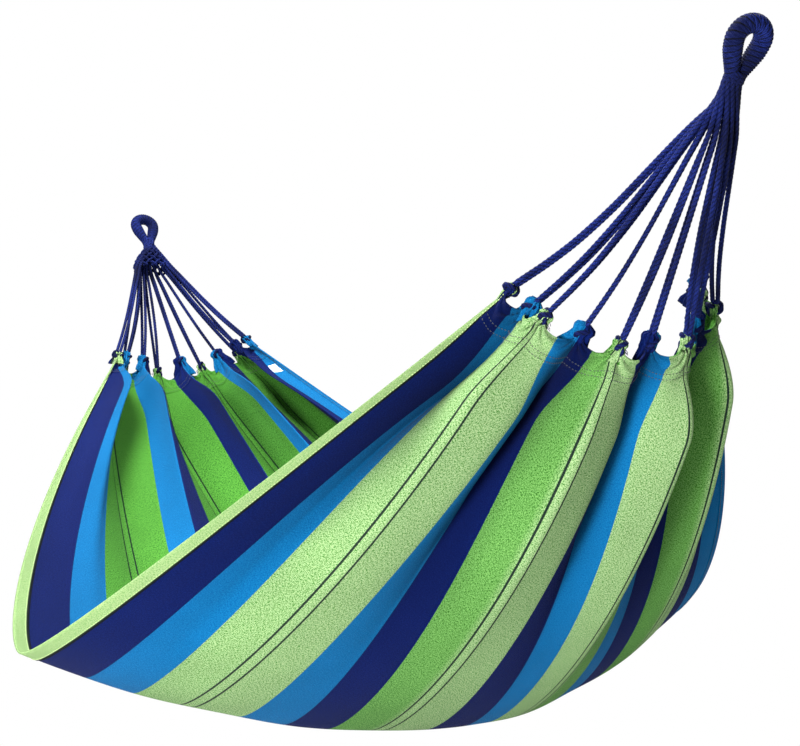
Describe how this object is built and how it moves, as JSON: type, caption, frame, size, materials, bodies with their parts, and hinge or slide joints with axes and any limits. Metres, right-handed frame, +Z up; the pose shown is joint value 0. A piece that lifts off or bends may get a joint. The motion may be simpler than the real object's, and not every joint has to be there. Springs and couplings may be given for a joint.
{
  "type": "camping hammock",
  "caption": "Striped cloth hammock with gathered ends, hung from two whipped rope eyes by a fan of doubled clew cords at each end.",
  "frame": {"origin": "the near hook seat: the inner top of the near eye loop, where it lies on its hook", "axes": "+X along the hanging line from the far hook seat to the near one, +Z up, +Y across towards the rear rim"},
  "size_m": [2.0602, 1.0088, 0.8895],
  "materials": {
    "bed_canvas": "plain-woven cotton canvas, matt, navy, blue and melange green stripes",
    "hem_canvas": "folded and stitched pale green canvas edge",
    "sleeve_canvas": "doubled canvas sleeve with two stitch rows, striped as the bed",
    "cord": "laid cotton-polyester cord, slightly fuzzy",
    "whipping": "tight turns of thin cord",
    "knot": "knotted cord with frayed ends",
    "label": "smooth woven tape, blank"
  },
  "bodies": {
    "hook_eyes": {"near_eye_core": "cord", "near_eye_whipping": "whipping", "near_throat_seizing": "whipping", "far_eye_core": "cord", "far_eye_whipping": "whipping", "far_throat_seizing": "whipping"},
    "hammock": {"near_cord_stem": "cord", "far_nettle_weave": "cord", "near_clew_cord_1": "cord", "near_clew_cord_2": "cord", "near_clew_cord_3": "cord", "near_clew_cord_4": "cord", "near_clew_cord_5": "cord", "near_clew_cord_6": "cord", "near_clew_cord_7": "cord", "near_clew_cord_8": "cord", "near_clew_cord_9": "cord", "near_clew_cord_10": "cord", "near_clew_cord_11": "cord", "far_clew_cord_1": "cord", "far_clew_cord_2": "cord", "far_clew_cord_3": "cord", "far_clew_cord_4": "cord", "far_clew_cord_5": "cord", "far_clew_cord_6": "cord", "far_clew_cord_7": "cord", "far_clew_cord_8": "cord", "far_clew_cord_9": "cord", "far_clew_cord_10": "cord", "far_clew_cord_11": "cord", "near_gather_knot_1": "knot", "near_gather_knot_2": "knot", "near_gather_knot_3": "knot", "near_gather_knot_4": "knot", "near_gather_knot_5": "knot", "near_gather_knot_6": "knot", "near_gather_knot_7": "knot", "near_gather_knot_8": "knot", "near_gather_knot_9": "knot", "near_gather_knot_10": "knot", "near_gather_knot_11": "knot", "far_gather_knot_1": "knot", "far_gather_knot_2": "knot", "far_gather_knot_3": "knot", "far_gather_knot_4": "knot", "far_gather_knot_5": "knot", "far_gather_knot_6": "knot", "far_gather_knot_7": "knot", "far_gather_knot_8": "knot", "far_gather_knot_9": "knot", "far_gather_knot_10": "knot", "far_gather_knot_11": "knot", "bed_panel": "bed_canvas", "near_end_sleeve": "sleeve_canvas", "far_end_sleeve": "sleeve_canvas", "front_side_hem": "hem_canvas", "rear_side_hem": "sleeve_canvas", "blank_label": "label"}
  },
  "joints": [
    {"name": "swing", "type": "hinge", "parent": "hook_eyes", "child": "hammock", "pos_m": [-0.03413, 0, -0.05176], "axis": [1, 0, 0], "range_deg": [-35, 35]}
  ]
}
